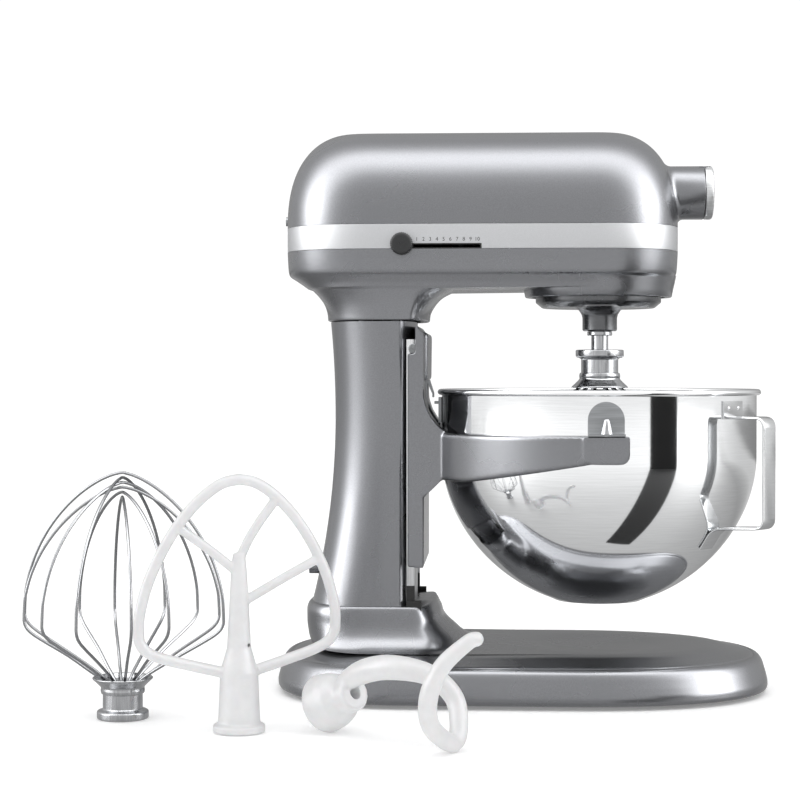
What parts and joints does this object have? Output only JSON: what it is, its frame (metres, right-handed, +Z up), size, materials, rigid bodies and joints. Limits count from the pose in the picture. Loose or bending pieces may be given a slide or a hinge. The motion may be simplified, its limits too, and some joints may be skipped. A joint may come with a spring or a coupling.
{
  "type": "stand mixer",
  "caption": "Bowl-lift stand mixer: cast base, column and motor head, planetary beater shaft with whisk, lifting bowl on a two-armed carriage, speed slider and power hub, with loose tools.",
  "frame": {"origin": "middle of the base's footprint, on the worktop", "axes": "+X towards the front of the mixer, where the bowl is; +Z up; the speed slider is on the -Y side"},
  "size_m": [0.5327, 0.4308, 0.4179],
  "materials": {
    "body_paint": "metallic silver grey, semi-gloss",
    "satin_trim": "satin",
    "polished_steel": "polished stainless steel",
    "brushed_steel": "brushed",
    "white_coating": "smooth nylon-like coating",
    "black_plastic": "fine matte",
    "rubber": "matte",
    "cast_metal": "as cast",
    "gear_steel": "machined",
    "lamination": "varnished laminations",
    "copper_coils": "enamelled copper wire",
    "bronze": "bronze",
    "circuit_board": "lacquered board",
    "planetary_paint": "metallic grey"
  },
  "bodies": {
    "frame": {"base": "body_paint", "base_feet": "rubber", "column": "body_paint", "column_bolts": "brushed_steel", "slide_ways": "brushed_steel", "way_stops": "rubber", "gear_housing": "body_paint", "head_cover": "body_paint", "trim_band": "satin_trim", "head_screws": "brushed_steel", "slot_liner": "black_plastic", "hub_barrel": "body_paint", "motor_cradle": "cast_metal", "stator_core": "lamination", "field_coils": "copper_coils", "motor_end_frames": "cast_metal", "motor_bearings": "gear_steel", "brush_holders": "black_plastic", "transmission_bracket": "cast_metal", "ring_gear": "gear_steel", "control_board": "circuit_board", "cord_gland": "rubber", "lift_bushing": "bronze"},
    "planetary": {"planetary_carrier": "planetary_paint", "drive_shaft": "gear_steel"},
    "beater": {"beater_shaft": "polished_steel", "beater_pinion": "gear_steel", "bayonet_pin": "brushed_steel", "whisk_hub": "brushed_steel", "whisk_wires": "polished_steel"},
    "armature": {"armature_shaft": "gear_steel", "armature_core": "lamination", "commutator": "copper_coils", "cooling_fan": "white_coating"},
    "worm_gear": {"worm_wheel": "bronze"},
    "bevel_gear": {"centre_gear": "gear_steel"},
    "hub_drive": {"hub_socket": "gear_steel"},
    "speed_control": {"speed_knob": "black_plastic", "speed_slider": "brushed_steel"},
    "hub_cover": {"hub_cap": "polished_steel"},
    "thumbscrew": {"attachment_knob": "black_plastic"},
    "bowl_slide": {"carriage": "body_paint", "locating_pins": "polished_steel", "bowl_latch": "polished_steel", "bowl": "polished_steel", "bowl_brackets": "brushed_steel", "bowl_hook": "brushed_steel", "bowl_handle": "polished_steel"},
    "lift_handle": {"lift_shaft": "gear_steel", "lift_lever": "polished_steel", "lever_grip": "black_plastic"},
    "spare_whisk": {"loose_whisk_hub": "brushed_steel", "loose_whisk_wires": "polished_steel"},
    "spare_beater": {"flat_beater": "white_coating"},
    "spare_hook": {"dough_hook": "white_coating"}
  },
  "joints": [
    {"name": "planetary_spin", "type": "hinge", "parent": "frame", "child": "planetary", "pos_m": [0.0574, 0, 0.29], "axis": [0, 0, 1], "continuous": true},
    {"name": "beater_spin", "type": "hinge", "parent": "planetary", "child": "beater", "pos_m": [0.0574, -0.024, 0.29], "axis": [0, 0, 1], "continuous": true},
    {"name": "bevel_spin", "type": "hinge", "parent": "frame", "child": "bevel_gear", "pos_m": [0.0574, 0.02, 0.3725], "axis": [0, 1, 0], "continuous": true},
    {"name": "hub_spin", "type": "hinge", "parent": "frame", "child": "hub_drive", "pos_m": [0.09, 0, 0.3725], "axis": [1, 0, 0], "continuous": true},
    {"name": "worm_gear_spin", "type": "hinge", "parent": "frame", "child": "worm_gear", "pos_m": [0.02471, 0.01, 0.385], "axis": [0, 1, 0], "continuous": true},
    {"name": "motor_spin", "type": "hinge", "parent": "frame", "child": "armature", "pos_m": [-0.09, 0, 0.358], "axis": [1, 0, 0], "continuous": true},
    {"name": "speed_slide", "type": "slide", "parent": "frame", "child": "speed_control", "axis": [1, 0, 0], "range_m": [0, 0.054]},
    {"name": "hub_cap_hinge", "type": "hinge", "parent": "frame", "child": "hub_cover", "pos_m": [0.139, 0, 0.3906], "axis": [0, -1, 0], "range_deg": [0, 95]},
    {"name": "thumbscrew_turn", "type": "hinge", "parent": "frame", "child": "thumbscrew", "pos_m": [0.12, 0.03, 0.3725], "axis": [0, 1, 0], "range_deg": [0, 720]},
    {"name": "bowl_lift", "type": "slide", "parent": "frame", "child": "bowl_slide", "axis": [0, 0, 1], "range_m": [-0.0245, 0]},
    {"name": "lever_turn", "type": "hinge", "parent": "frame", "child": "lift_handle", "pos_m": [-0.105, 0.04, 0.15], "axis": [0, 1, 0], "range_deg": [-80, 0]},
    {"name": "whisk_lift_off", "type": "slide", "parent": "frame", "child": "spare_whisk", "axis": [0, 0, 1], "range_m": [0, 0.15]},
    {"name": "beater_lift_off", "type": "slide", "parent": "frame", "child": "spare_beater", "axis": [0, 0, 1], "range_m": [0, 0.15]},
    {"name": "hook_lift_off", "type": "slide", "parent": "frame", "child": "spare_hook", "axis": [0, 0, 1], "range_m": [0, 0.15]}
  ],
  "couplings": [
    {"joint": "beater_spin", "follows": "planetary_spin", "ratio": -3},
    {"joint": "bevel_spin", "follows": "planetary_spin", "ratio": 0.5},
    {"joint": "hub_spin", "follows": "planetary_spin", "ratio": -1},
    {"joint": "worm_gear_spin", "follows": "planetary_spin", "ratio": -1.25},
    {"joint": "motor_spin", "follows": "planetary_spin", "ratio": -40},
    {"joint": "lever_turn", "follows": "bowl_lift", "rad_per_m": 56.991}
  ]
}
